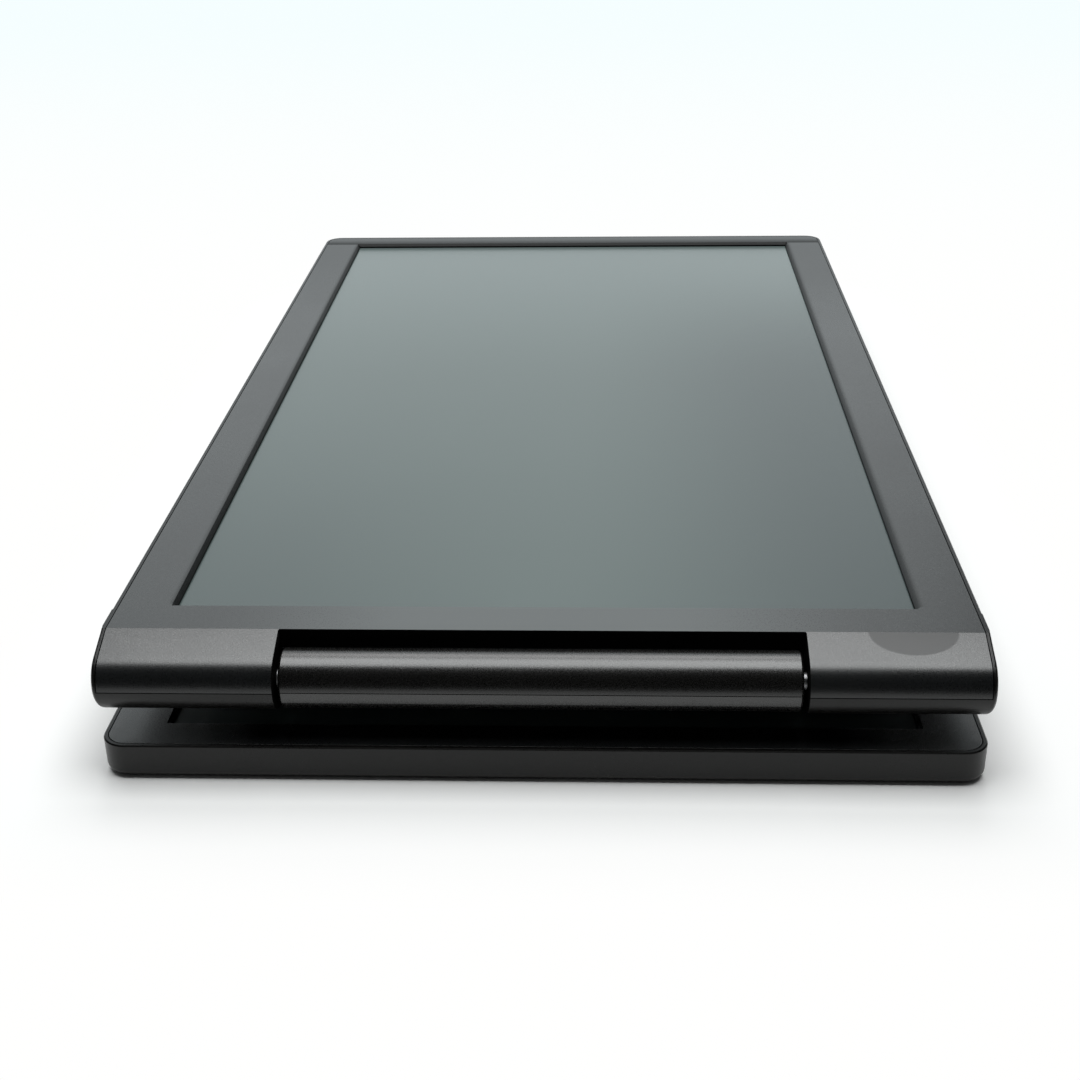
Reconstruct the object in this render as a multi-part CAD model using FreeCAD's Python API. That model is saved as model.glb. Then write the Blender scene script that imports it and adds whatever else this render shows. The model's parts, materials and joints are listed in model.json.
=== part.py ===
"""Laptop screen extender: two hinged 14 inch displays folded onto a telescoping lid bracket.

Millimetres. Z is up, X runs along both hinges, Y runs from the near hinge (-Y) to the far one.
The origin is under the middle of the folded stack, on the surface that it lies on.
"""
import FreeCAD, Part
import math
import os

V = FreeCAD.Vector

# Picture area and the frame round it
GLASS_WIDTH = 174.0
GLASS_LENGTH = 309.4
GLASS_DEPTH = 1.5
GLASS_THICK = 0.9
GLASS_LAP = 1.8
BEZEL_SIDE = 13.65
BEZEL_FREE_END = 9.7
BEZEL_HINGE_END = 11.9
RIM = 1.0
SEAM = 0.22
WINDOW_BEVEL = 0.9

# Display housing
DISPLAY_THICK = 9.0
WALL = 2.0
SKIN = 1.5
CORNER = 6.0
BACK_EDGE = 2.5
RIB_WIDTH = 2.0
RIB_STEP = 40.0
RIM_CHAMFER = 0.3

# The folded stack
DISPLAY_GAP = 14.0
UPPER_AXIS_DROP = 0.7
LOWER_AXIS_RISE = 1.8

# Hinge lobes, the notch between them and the barrel in it
LOBE_RADIUS = 7.2
LOBE_WALL = 1.6
UPPER_SLOPE_TURN = 110.5
LOWER_SLOPE_TURN = 30.0
LOWER_RAMP_TURN = 225.0
LOBE_EDGE_TOP = 0.5
LOBE_EDGE_BOTTOM = 3.0
NOTCH_WIDTH = 120.5
NOTCH_BACK = 5.4
BARREL_RADIUS = 6.9
BARREL_GAP = 1.2
BARREL_SKIN = 1.6
SCALLOP_GAP = 0.6
BARREL_END_CHAMFER = 0.5
BARREL_SEAM = 0.2

# Friction hinges
SHAFT_DIAMETER = 4.0
SHAFT_RUN = 0.05
SHAFT_IN_LOBE = 14.0
SHAFT_IN_BARREL = 15.0
SLEEVE_RADIUS = 4.2
SLEEVE_LENGTH = 12.0
SLEEVE_TAB = 16.0
KNUCKLE_RADIUS = 4.8
KNUCKLE_LENGTH = 10.0
KNUCKLE_INSET = 2.6
LEAF_THICK = 1.2
LEAF_REACH = 40.0
LEAF_WIDTH = 16.0
LEAF_SCREW_STEP = 12.0
SCREW_RADIUS = 0.9
SCREW_HEAD_RADIUS = 1.8
SCREW_HEAD = 0.8
SCREW_BITE = 1.0
FIT = 0.1

# Panel backlight and electronics
BACKLIGHT_THICK = 2.0
BOARD_WIDTH = 38.0
BOARD_LENGTH = 92.0
BOARD_THICK = 1.2
BOARD_LIFT = 0.6
BOARD_START = 60.0
CHIP_HEIGHT = 0.9
CHIP_SIZE = 8.0
CHIP_STEP = 12.0
CHIP_INSET = 4.0
BOARD_POST = 4.0
RIBBON_WIDTH = 18.0
RIBBON_THICK = 0.2

# Sockets and buttons along the lower long edge
SOCKET_DEPTH = 7.3
SOCKET_HEIGHT = 3.2
SOCKET_SHELL = 0.3
SOCKET_CORNER = 1.0
SOCKET_TONGUE = 0.7
USB_WIDTH = 8.94
HDMI_WIDTH = 11.2
SOCKET_FIRST = 8.0
SOCKET_STEP = 17.0
SOCKET_SLOT_GAP = 0.2
BUTTON_LENGTH = 9.0
BUTTON_HEIGHT = 2.6
BUTTON_GAP = 0.3
BUTTON_STEP = 14.0
BUTTON_FIRST = 60.0
BUTTON_FLANGE = 0.6
BUTTON_TRAVEL = 0.4
BUTTON_CLEAR = 0.3
BUTTON_CORNER = 0.7
SWITCH_SIZE = 3.2

# Telescoping bracket between the displays
BRACKET_WIDTH = 170.0
BRACKET_THICK = 6.0
BRACKET_TOP_GAP = 0.7
BRACKET_CORNER = 9.0
BRACKET_END_GAP = 8.3
BRACKET_EDGE = 0.8
NECK_WIDTH = 116.0
SPLIT_FROM_NEAR_END = 106.0
SPLIT_GAP = 0.5
SLIDE_TRAVEL = 70.0
SLIDE_WIDTH = 110.0
SLIDE_THICK = 1.4
SLIDE_IN_NEAR = 90.0
SLIDE_IN_FAR = 145.0
CHANNEL_HEIGHT = 3.0
CHANNEL_SPARE = 10.0
RAIL_WIDTH = 4.4
RAIL_GAP = 0.3
FRAME_SCREW_INSET = 12.0
FRAME_SCREW_END = 18.0

# Hooks that hold the edges of a laptop lid
HOOK_SPAN = 296.0
HOOK_TO_AXIS = 16.3
HOOK_INSET = 19.0
HOOK_WIDTH = 16.0
HOOK_POST = 3.0
HOOK_REACH = 6.0
HOOK_LIP = 1.2
HOOK_FLOAT = 0.6
HOOK_FOOT = 12.0
HOOK_FOOT_THICK = 1.2
PAD_THICK = 0.5
FOAM_WIDTH = 12.0
FOAM_LENGTH = 70.0
FOAM_THICK = 0.6
FOAM_SIDE = 30.0
FOAM_END = 20.0

# Worked out from the sizes above
HALF_WIDTH = GLASS_WIDTH / 2 + BEZEL_SIDE + RIM
NOTCH_HALF = NOTCH_WIDTH / 2
BARREL_HALF = NOTCH_HALF - BARREL_GAP
HINGE_Y = HOOK_SPAN / 2 + HOOK_TO_AXIS
HOOK_SIDE = BRACKET_WIDTH / 2 - HOOK_INSET
STACK_HEIGHT = 2 * DISPLAY_THICK + DISPLAY_GAP
UPPER_AXIS_Z = STACK_HEIGHT - DISPLAY_THICK - UPPER_AXIS_DROP
LOWER_AXIS_Z = DISPLAY_THICK + LOWER_AXIS_RISE
BRACKET_TOP = STACK_HEIGHT - DISPLAY_THICK - BRACKET_TOP_GAP
BRACKET_FRONT = BRACKET_TOP - BRACKET_THICK
BRACKET_MID = (BRACKET_TOP + BRACKET_FRONT) / 2
BRACKET_NEAR_Y = -HINGE_Y + BRACKET_END_GAP
BRACKET_FAR_Y = HINGE_Y - BRACKET_END_GAP
SPLIT_Y = BRACKET_NEAR_Y + SPLIT_FROM_NEAR_END
SHAFT_RADIUS = SHAFT_DIAMETER / 2
BIG = 500.0


def box(x0, x1, y0, y1, z0, z1):
    """A block between two corners."""
    return Part.makeBox(x1 - x0, y1 - y0, z1 - z0, V(x0, y0, z0))


def rod(x0, x1, y, z, radius):
    """A round bar along X."""
    return Part.makeCylinder(radius, x1 - x0, V(x0, y, z), V(1, 0, 0))


def faceted_rod(x0, x1, radius, sides=8):
    """A many-sided bar along the X axis with its corners at the radius."""
    turns = [2 * math.pi * (i + 0.5) / sides for i in range(sides + 1)]
    ring = [V(x0, radius * math.cos(t), radius * math.sin(t)) for t in turns]
    return Part.Face(Part.makePolygon(ring)).extrude(V(x1 - x0, 0, 0))


def prism(x, y, z0, z1, radius, sides=6):
    """A many-sided bar along Z with its corners at the radius."""
    turns = [2 * math.pi * (i + 0.5) / sides for i in range(sides + 1)]
    ring = [V(x + radius * math.cos(t), y + radius * math.sin(t), z0) for t in turns]
    return Part.Face(Part.makePolygon(ring)).extrude(V(0, 0, z1 - z0))


def joined(shapes):
    """One solid from overlapping ones, without the seams between flat faces."""
    whole = shapes[0].fuse(shapes[1:]) if len(shapes) > 1 else shapes[0]
    return whole.removeSplitter()


def group(shapes):
    """Separate solids kept in one sub-part."""
    return Part.makeCompound([solid for shape in shapes for solid in shape.Solids])


def mirrored_x(shape):
    """The same piece on the other side of the X = 0 plane."""
    return shape.mirror(V(0, 0, 0), V(1, 0, 0))


def on_circle(radius, degrees):
    """A point of a circle about the hinge axis, as (y, z)."""
    turn = math.radians(degrees)
    return radius * math.cos(turn), radius * math.sin(turn)


def plate(half_x, y0, y1, z0, z1, near_corner, far_corner):
    """A flat plate with rounded corners at either end."""
    solid = box(-half_x, half_x, y0, y1, z0, z1)
    for y, radius in ((y0, near_corner), (y1, far_corner)):
        if radius > 0:
            upright = [e for e in solid.Edges if abs(e.CenterOfMass.y - y) < 1e-6
                       and abs(abs(e.CenterOfMass.x) - half_x) < 1e-6]
            solid = solid.makeFillet(radius, upright)
    return solid


def side_outline(points, x0, x1):
    """Extrude a closed outline in the YZ plane; a triple of points gives an arc."""
    edges = []
    for item in points:
        if len(item) == 3:
            edges.append(Part.Arc(*[V(x0, y, z) for y, z in item]).toShape())
        else:
            edges.append(Part.LineSegment(*[V(x0, y, z) for y, z in item]).toShape())
    face = Part.Face(Part.Wire(edges))
    return face.extrude(V(x1 - x0, 0, 0))


def crease_at(face, radius, turn):
    """Where the slope that leaves the lobe at this turn meets the display's face."""
    y, z = on_circle(radius, turn)
    return y + (z - face) * math.tan(math.radians(turn))


def lobe_outline(face, back, radius, turn, end):
    """The display's end in section: slope, round lobe and, where the back is lower, a ramp."""
    crease = (crease_at(face, radius, turn), face)
    top = on_circle(radius, turn)
    below = back < -radius
    leave_turn = LOWER_RAMP_TURN if below else 360 + math.degrees(math.asin(back / radius))
    leave = on_circle(radius, leave_turn)
    middle = on_circle(radius, (turn + leave_turn) / 2)
    outline = [((end, face), crease), (crease, top), (top, middle, leave)]
    if below:
        run = (leave[1] - back) * math.tan(math.radians(LOWER_RAMP_TURN))
        foot = (leave[0] + run, back)
        outline.append((leave, foot))
        leave = foot
    outline += [(leave, (end, back)), ((end, back), (end, face))]
    return outline


def chamfered_bar(x0, x1, y, z, half_y, half_z, corner):
    """A flat bar along X with its four long edges cut off."""
    ring = []
    for sy, sz in ((-1, -1), (1, -1), (1, 1), (-1, 1)):
        near = V(x0, y + sy * half_y, z + sz * (half_z - corner))
        far = V(x0, y + sy * (half_y - corner), z + sz * half_z)
        ring += [near, far] if sy * sz > 0 else [far, near]
    return Part.Face(Part.makePolygon(ring + ring[:1])).extrude(V(x1 - x0, 0, 0))


class Display:
    """One display unit, built with its hinge axis on the X axis and its free end at +Y."""

    def __init__(self, face, turn, port_side, name):
        self.name = name
        self.face = face
        self.back = face - DISPLAY_THICK
        self.turn = turn
        self.port_side = port_side
        self.floor = self.back + SKIN
        self.glass_near = NOTCH_BACK + BEZEL_HINGE_END
        self.glass_far = self.glass_near + GLASS_LENGTH
        self.end = self.glass_far + BEZEL_FREE_END + RIM
        self.glass_top = face - GLASS_DEPTH
        self.light_top = self.glass_top - GLASS_THICK
        self.light_bottom = self.light_top - BACKLIGHT_THICK
        self.board_bottom = self.floor + BOARD_LIFT
        self.board_top = self.board_bottom + BOARD_THICK
        self.inner_wall = HALF_WIDTH - WALL
        self.socket_z = self.board_top + SOCKET_HEIGHT / 2
        self.button_y = [self.glass_far - BUTTON_FIRST + i * BUTTON_STEP for i in range(3)]
        self.socket_y = [BOARD_START + SOCKET_FIRST + i * SOCKET_STEP for i in range(3)]

    def toward_port(self, shape):
        """Turn a piece drawn at +X to the side that has the sockets."""
        return shape if self.port_side > 0 else mirrored_x(shape)

    def notch(self, margin, face):
        """The space between the lobes for the barrel, grown by a margin."""
        half = NOTCH_HALF + margin
        cuts = [box(-half, half, -BIG, NOTCH_BACK + margin, -BIG, BIG),
                rod(-half, half, 0, 0, BARREL_RADIUS + SCALLOP_GAP + margin)]
        crease = crease_at(self.face, LOBE_RADIUS, self.turn)
        if crease > NOTCH_BACK + margin:
            cuts.append(box(-half, half, -BIG, crease + margin, face, BIG))
        return cuts

    def outer(self):
        """The closed outside of the housing, with its edges rounded."""
        start = 2 * LOBE_RADIUS
        slab = plate(HALF_WIDTH, NOTCH_BACK, self.end, self.back, self.face, 0, CORNER)
        low = [e for e in slab.Edges if abs(e.CenterOfMass.z - self.back) < 1e-6
               and e.CenterOfMass.y > NOTCH_BACK + 1]
        slab = slab.makeFillet(BACK_EDGE, low)
        high = [e for e in slab.Edges if abs(e.CenterOfMass.z - self.face) < 1e-6
                and e.CenterOfMass.y > NOTCH_BACK + 1]
        slab = slab.makeChamfer(RIM_CHAMFER, high)
        outline = lobe_outline(self.face, self.back, LOBE_RADIUS, self.turn, start)
        lobe = side_outline(outline, NOTCH_HALF, HALF_WIDTH)
        edge = [e for e in lobe.Edges if abs(e.BoundBox.XMin - HALF_WIDTH) < 1e-6
                and e.BoundBox.YMin < NOTCH_BACK - 1 and e.BoundBox.YMax < start - 1]
        lobe = lobe.makeFillet(LOBE_EDGE_TOP, LOBE_EDGE_BOTTOM, edge)
        return slab.fuse([lobe, mirrored_x(lobe)]).cut(self.notch(0, self.face))

    def inner(self):
        """The hollow inside the housing."""
        radius = LOBE_RADIUS - LOBE_WALL
        outline = lobe_outline(self.glass_top, self.floor, radius, self.turn, self.end - WALL)
        hollow = side_outline(outline, -self.inner_wall, self.inner_wall)
        return hollow.cut(self.notch(LOBE_WALL, self.glass_top))

    def front_zone(self, inset, lift):
        """What of the housing belongs to the front frame."""
        half = HALF_WIDTH - inset
        corner = CORNER - inset
        plan = plate(half, -BIG, self.end - inset, self.glass_top, BIG, 0, corner)
        lip_end = NOTCH_BACK + LOBE_WALL + FIT
        lobes = box(-half, half, -BIG, lip_end, lift, BIG)
        lobes = lobes.cut(box(-BIG, BIG, lip_end / 4, BIG, -BIG, self.floor + FIT))
        face_part = plan.cut(box(-BIG, BIG, -BIG, lip_end / 2, -BIG, BIG))
        return lobes.fuse(face_part)

    def window(self):
        """The opening over the picture, with bevelled sides."""
        low = self.glass_top
        half = GLASS_WIDTH / 2
        hole = box(-half, half, self.glass_near, self.glass_far, low - 1, self.face + 1)
        grow = WINDOW_BEVEL
        rings = []
        for step, z in ((0, self.face - grow), (2 * grow, self.face + grow)):
            corners = [V(sx * (half + step), y, z) for sx, y in (
                (-1, self.glass_near - step), (1, self.glass_near - step),
                (1, self.glass_far + step), (-1, self.glass_far + step))]
            rings.append(Part.makePolygon(corners + corners[:1]))
        return hole.fuse(Part.makeLoft(rings, True, True))

    def back_cover(self, outer, inner):
        """The tub that carries everything: back, side walls and the lower half of the lobes."""
        tub = outer.cut(inner).cut(self.front_zone(RIM, -SEAM))
        widths = (USB_WIDTH, USB_WIDTH, HDMI_WIDTH)
        openings = [(y, w / 2 + SOCKET_SLOT_GAP, SOCKET_HEIGHT / 2 + SOCKET_SLOT_GAP, SOCKET_CORNER)
                    for y, w in zip(self.socket_y, widths)]
        openings += [(y, BUTTON_LENGTH / 2 + BUTTON_GAP, BUTTON_HEIGHT / 2 + BUTTON_GAP,
                      BUTTON_CORNER) for y in self.button_y]
        holes = [chamfered_bar(self.inner_wall - 1, HALF_WIDTH + 1, y, self.socket_z,
                               half, rise, corner) for y, half, rise, corner in openings]
        holes = [self.toward_port(h) for h in holes]
        lobe_inner = NOTCH_HALF + LOBE_WALL + 1
        holes.append(rod(-lobe_inner, lobe_inner, 0, 0, SHAFT_RADIUS + FIT))
        holes += [prism(x, y, self.floor - SCREW_BITE, self.floor + 1, SCREW_RADIUS + FIT / 2)
                  for x, y in self.leaf_screws()]
        ribs = [box(x - RIB_WIDTH / 2, x + RIB_WIDTH / 2, self.glass_near, self.glass_far,
                    self.floor, self.light_bottom)
                for x in (-1.5 * RIB_STEP, -RIB_STEP / 2, RIB_STEP / 2)]
        if self.port_side < 0:
            ribs = [mirrored_x(r) for r in ribs]
        ribs += self.board_posts()
        return joined([tub.cut(holes)] + ribs)

    def board_posts(self):
        """Short posts that the driver board lies on."""
        x0, x1 = self.board_x()
        spots = [(x, y) for x in (x0, x1 - BOARD_POST)
                 for y in (BOARD_START, BOARD_START + BOARD_LENGTH - BOARD_POST)]
        posts = [box(x, x + BOARD_POST, y, y + BOARD_POST, self.floor, self.board_bottom)
                 for x, y in spots]
        return [self.toward_port(p) for p in posts]

    def board_x(self):
        """The board's edges in X, drawn at +X."""
        right = self.inner_wall - FIT
        return right - BOARD_WIDTH, right

    def front_bezel(self, outer, inner):
        """The frame round the picture and the sloped top of the lobes, one moulding."""
        shell = outer.cut(inner).common(self.front_zone(RIM + SEAM, 0))
        holes = [self.window()]
        lobe_inner = NOTCH_HALF + LOBE_WALL + 1
        holes.append(rod(-lobe_inner, lobe_inner, 0, 0, SHAFT_RADIUS + FIT))
        return joined([shell.cut(holes)])

    def lcd_glass(self):
        """The panel's glass, held under the frame."""
        half = GLASS_WIDTH / 2 + GLASS_LAP
        return box(-half, half, self.glass_near - GLASS_LAP, self.glass_far + GLASS_LAP,
                   self.light_top, self.glass_top)

    def lcd_backlight(self):
        """The light box behind the glass."""
        half = GLASS_WIDTH / 2 + GLASS_LAP
        return box(-half, half, self.glass_near - GLASS_LAP, self.glass_far + GLASS_LAP,
                   self.light_bottom, self.light_top)

    def driver_board(self):
        """The circuit board with its two chips."""
        x0, x1 = self.board_x()
        base = box(x0, x1, BOARD_START, BOARD_START + BOARD_LENGTH,
                   self.board_bottom, self.board_top)
        chip_y = BOARD_START + BOARD_LENGTH / 2 + CHIP_STEP
        chips = []
        for i in range(2):
            chip_x = x0 + CHIP_INSET + CHIP_STEP * i
            chips.append(box(chip_x, chip_x + CHIP_SIZE, chip_y, chip_y + CHIP_SIZE,
                             self.board_top, self.board_top + CHIP_HEIGHT))
        return self.toward_port(joined([base] + chips))

    def panel_ribbon(self):
        """The flat cable from the board up to the panel."""
        x0, _ = self.board_x()
        y0 = BOARD_START + BOARD_LENGTH - 2 * LEAF_THICK
        foot = box(x0 + 2, x0 + 2 + RIBBON_WIDTH, y0 - 6, y0, self.board_top,
                   self.board_top + RIBBON_THICK)
        rise = box(x0 + 2, x0 + 2 + RIBBON_WIDTH, y0 - RIBBON_THICK, y0, self.board_top,
                   self.light_bottom)
        return self.toward_port(joined([foot, rise]))

    def socket(self, y, width):
        """One socket: a flattened tube with a tongue in it, its mouth at the wall."""
        z = self.socket_z
        rise = SOCKET_HEIGHT / 2
        run = width / 2 - rise
        x1 = HALF_WIDTH - FIT
        x0 = x1 - SOCKET_DEPTH
        tube = chamfered_bar(x0, x1, y, z, width / 2, rise, SOCKET_CORNER)
        hollow = tube.cut(chamfered_bar(x0 + 1, x1 + 1, y, z, width / 2 - SOCKET_SHELL,
                                        rise - SOCKET_SHELL, SOCKET_CORNER - SOCKET_SHELL / 2))
        tongue = box(x0 + 1 - FIT, x1 - 1, y - run, y + run,
                     z - SOCKET_TONGUE / 2, z + SOCKET_TONGUE / 2)
        return self.toward_port(joined([hollow, tongue]))

    def usb_c_ports(self):
        """The two USB-C sockets."""
        return group([self.socket(y, USB_WIDTH) for y in self.socket_y[:2]])

    def mini_hdmi_port(self):
        """The mini HDMI socket."""
        return self.socket(self.socket_y[2], HDMI_WIDTH)

    def button(self, index):
        """A key in the side wall, with a flange inside that keeps it from falling out."""
        y = self.button_y[index]
        z = self.socket_z
        half = BUTTON_LENGTH / 2
        rise = BUTTON_HEIGHT / 2
        cap = [chamfered_bar(self.inner_wall - BUTTON_CLEAR, HALF_WIDTH, y, z,
                             half, rise, BUTTON_CORNER)]
        flange = box(self.inner_wall - BUTTON_CLEAR - BUTTON_FLANGE, self.inner_wall - BUTTON_CLEAR,
                     y - half - BUTTON_GAP - BUTTON_FLANGE, y + half + BUTTON_GAP + BUTTON_FLANGE,
                     z - rise, z + rise)
        return self.toward_port(joined(cap + [flange]))

    def key_switches(self):
        """The strip under the frame that carries the three push switches."""
        reach = self.inner_wall - BUTTON_CLEAR - BUTTON_FLANGE - BUTTON_TRAVEL - BUTTON_CLEAR
        strip_x = GLASS_WIDTH / 2 + GLASS_LAP + FIT
        y0 = self.button_y[0] - BUTTON_LENGTH
        y1 = self.button_y[-1] + BUTTON_LENGTH
        strip = box(strip_x, strip_x + SWITCH_SIZE, y0, y1, self.floor, self.floor + BOARD_THICK)
        keys = [box(strip_x, reach, y - SWITCH_SIZE / 2, y + SWITCH_SIZE / 2,
                    self.floor, self.socket_z + BUTTON_HEIGHT / 2) for y in self.button_y]
        return self.toward_port(joined([strip] + keys))

    def hinge_shafts(self):
        """The two hinge shafts, fixed in the lobes and turning in the barrel."""
        x0 = NOTCH_HALF - BARREL_GAP - SHAFT_IN_BARREL
        x1 = NOTCH_HALF + SHAFT_IN_LOBE
        shaft = rod(x0, x1, 0, 0, SHAFT_RADIUS)
        return group([shaft, mirrored_x(shaft)])

    def leaf_screws(self):
        """Where the leaves are screwed down."""
        x = NOTCH_HALF + KNUCKLE_INSET + LEAF_WIDTH / 2
        spots = [(x, LEAF_REACH - 5 - i * LEAF_SCREW_STEP) for i in range(2)]
        return spots + [(-x, y) for x, y in spots]

    def hinge_leaves(self):
        """The steel leaves that tie the shafts to the back cover."""
        x0 = NOTCH_HALF + KNUCKLE_INSET
        x1 = x0 + KNUCKLE_LENGTH
        low = self.floor
        knuckle = faceted_rod(x0, x1, KNUCKLE_RADIUS)
        web = box(x0, x1, LEAF_THICK * 2, KNUCKLE_RADIUS, min(low, 0), max(low + LEAF_THICK, 0))
        foot = box(x0, x0 + LEAF_WIDTH, LEAF_THICK * 3, LEAF_REACH, low, low + LEAF_THICK)
        leaf = joined([knuckle, web, foot]).cut(rod(x0 - 1, x1 + 1, 0, 0, SHAFT_RADIUS + FIT / 5))
        spots = [s for s in self.leaf_screws() if s[0] > 0]
        leaf = leaf.cut([prism(x, y, low - 1, low + LEAF_THICK + 1, SCREW_RADIUS + FIT)
                         for x, y in spots])
        return group([leaf, mirrored_x(leaf)])

    def leaf_screw_set(self):
        """The screws of the leaves."""
        top = self.floor + LEAF_THICK
        screws = []
        for x, y in self.leaf_screws():
            shank = prism(x, y, self.floor - SCREW_BITE, top + SCREW_HEAD / 2, SCREW_RADIUS)
            head = prism(x, y, top, top + SCREW_HEAD, SCREW_HEAD_RADIUS, 8)
            screws.append(joined([shank, head]))
        return group(screws)

    def pieces(self):
        """All sub-parts of this display, by name."""
        outer = self.outer()
        inner = self.inner()
        parts = {
            "back_cover": self.back_cover(outer, inner),
            "front_bezel": self.front_bezel(outer, inner),
            "lcd_glass": self.lcd_glass(),
            "lcd_backlight": self.lcd_backlight(),
            "driver_board": self.driver_board(),
            "panel_ribbon": self.panel_ribbon(),
            "usb_c_ports": self.usb_c_ports(),
            "mini_hdmi_port": self.mini_hdmi_port(),
            "key_switches": self.key_switches(),
            "hinge_shafts": self.hinge_shafts(),
            "hinge_leaves": self.hinge_leaves(),
            "leaf_screws": self.leaf_screw_set(),
        }
        for index, key in enumerate(("menu_button", "minus_button", "plus_button")):
            parts[key] = self.button(index)
        return {f"{self.name}_{key}": shape for key, shape in parts.items()}


def barrel_skin(keep):
    """Half of the hollow barrel about the X axis: keep is +1 for the top, -1 for the bottom."""
    full = rod(-BARREL_HALF, BARREL_HALF, 0, 0, BARREL_RADIUS)
    rims = [e for e in full.Edges if e.BoundBox.XLength < 1e-6]
    full = full.makeChamfer(BARREL_END_CHAMFER, rims)
    inside = BARREL_HALF - BARREL_SKIN
    full = full.cut(rod(-inside, inside, 0, 0, BARREL_RADIUS - BARREL_SKIN))
    full = full.cut(rod(-BIG, BIG, 0, 0, SHAFT_RADIUS + BUTTON_GAP))
    if keep > 0:
        return full.common(box(-BIG, BIG, -BIG, BIG, BARREL_SEAM / 2, BIG))
    return full.common(box(-BIG, BIG, -BIG, BIG, -BIG, -BARREL_SEAM / 2))


def sleeve_pair(foot_z, reach):
    """The two sleeves that grip the shafts, each on a tab that reaches into the frame."""
    x1 = BARREL_HALF - BARREL_SKIN - FIT
    x0 = x1 - SLEEVE_LENGTH
    tube = faceted_rod(x0, x1, SLEEVE_RADIUS)
    low, high = sorted((0.0, foot_z))
    tab = box(x0, x1, SLEEVE_RADIUS - LEAF_THICK, reach, foot_z - LEAF_THICK, foot_z)
    web = box(x0, x1, SLEEVE_RADIUS - LEAF_THICK, SLEEVE_RADIUS, low, high)
    root = box(x0, x1, 0, SLEEVE_RADIUS, -LEAF_THICK / 2, LEAF_THICK / 2)
    return joined([tube, tab, web, root]).cut(rod(x0 - 1, x1 + 1, 0, 0, SHAFT_RADIUS + SHAFT_RUN))


def bracket_plate(y0, y1, near_corner, far_corner):
    """The flat body of one bracket half, with softened edges."""
    half = BRACKET_WIDTH / 2
    body = plate(half, y0, y1, BRACKET_FRONT, BRACKET_TOP, near_corner, far_corner)
    flat = [e for e in body.Edges
            if abs(e.CenterOfMass.z - BRACKET_TOP) < 1e-6
            or abs(e.CenterOfMass.z - BRACKET_FRONT) < 1e-6]
    return body.makeChamfer(BRACKET_EDGE, flat)


def channel(y0, y1):
    """The flat hollow that the sliding plate lies in."""
    half = SLIDE_WIDTH / 2 + RAIL_GAP + RAIL_WIDTH
    return box(-half, half, y0, y1, BRACKET_MID - CHANNEL_HEIGHT / 2,
               BRACKET_MID + CHANNEL_HEIGHT / 2)


def near_neck():
    """The neck from the near bracket half to its barrel, without the barrel."""
    half = NECK_WIDTH / 2
    return box(-half, half, -HINGE_Y, BRACKET_NEAR_Y + BRACKET_CORNER,
               BRACKET_FRONT, UPPER_AXIS_Z)


def far_neck():
    """The neck that drops from the far bracket half to the lower display's barrel."""
    half = NECK_WIDTH / 2
    cy, cz = HINGE_Y, LOWER_AXIS_Z
    left = cy - BARREL_RADIUS
    crest = (cy - BARREL_RADIUS / 2, BRACKET_TOP)
    dy = crest[0] - cy
    dz = crest[1] - cz
    turn = math.degrees(math.atan2(dz, dy) - math.acos(BARREL_RADIUS / math.hypot(dy, dz)))
    touch = on_circle(BARREL_RADIUS, turn)
    touch = (cy + touch[0], cz + touch[1])
    right = (cy + BARREL_RADIUS, cz)
    middle = on_circle(BARREL_RADIUS, turn / 2)
    middle = (cy + middle[0], cz + middle[1])
    root = BRACKET_FAR_Y - BRACKET_CORNER
    outline = [((root, BRACKET_FRONT), (left, BRACKET_FRONT)), ((left, BRACKET_FRONT), (left, cz)),
               ((left, cz), right), (right, middle, touch), (touch, crest),
               (crest, (root, BRACKET_TOP)), ((root, BRACKET_TOP), (root, BRACKET_FRONT))]
    return side_outline(outline, -half, half)


def at_hinge(shape, y, z):
    """A copy of a piece drawn about the X axis, moved to a hinge axis."""
    moved = shape.copy()
    moved.translate(V(0, y, z))
    return moved


def barrel_hollow(y, z):
    """The hollow of the barrel, for cutting a neck."""
    inside = BARREL_HALF - BARREL_SKIN
    return [rod(-inside, inside, y, z, BARREL_RADIUS - BARREL_SKIN),
            rod(-BIG, BIG, y, z, SHAFT_RADIUS + BUTTON_GAP)]


def tab_pocket(y_axis, z_axis, toward, foot_z, reach):
    """The pockets for the sleeves' tabs and for the webs that carry them."""
    x1 = BARREL_HALF - BARREL_SKIN
    x0 = x1 - SLEEVE_LENGTH - 2 * FIT
    cuts = []
    low, high = sorted((z_axis, foot_z))
    for near, far, z0, z1 in (
            (SLEEVE_RADIUS - LEAF_THICK - FIT, reach + FIT, foot_z - LEAF_THICK - FIT, foot_z + FIT),
            (SLEEVE_RADIUS - LEAF_THICK - FIT, SLEEVE_RADIUS + FIT, low, high + FIT)):
        y0, y1 = sorted((y_axis + toward * near, y_axis + toward * far))
        cut = box(x0, x1, y0, y1, z0, z1)
        cuts += [cut, mirrored_x(cut)]
    return cuts


def bracket_screw_spots(y0, y1):
    """Where the two shells of a bracket half are screwed together."""
    x = BRACKET_WIDTH / 2 - FRAME_SCREW_INSET
    return [(sx * x, y) for sx in (-1, 1) for y in (y0, y1)]


def bracket_screws(spots):
    """Screws with their heads let into the bracket's back."""
    screws = []
    for x, y in spots:
        shank = prism(x, y, BRACKET_MID - SCREW_BITE, BRACKET_TOP - SCREW_HEAD, SCREW_RADIUS)
        head = prism(x, y, BRACKET_TOP - SCREW_HEAD, BRACKET_TOP - FIT, SCREW_HEAD_RADIUS, 8)
        screws.append(joined([shank, head]))
    return group(screws)


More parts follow.
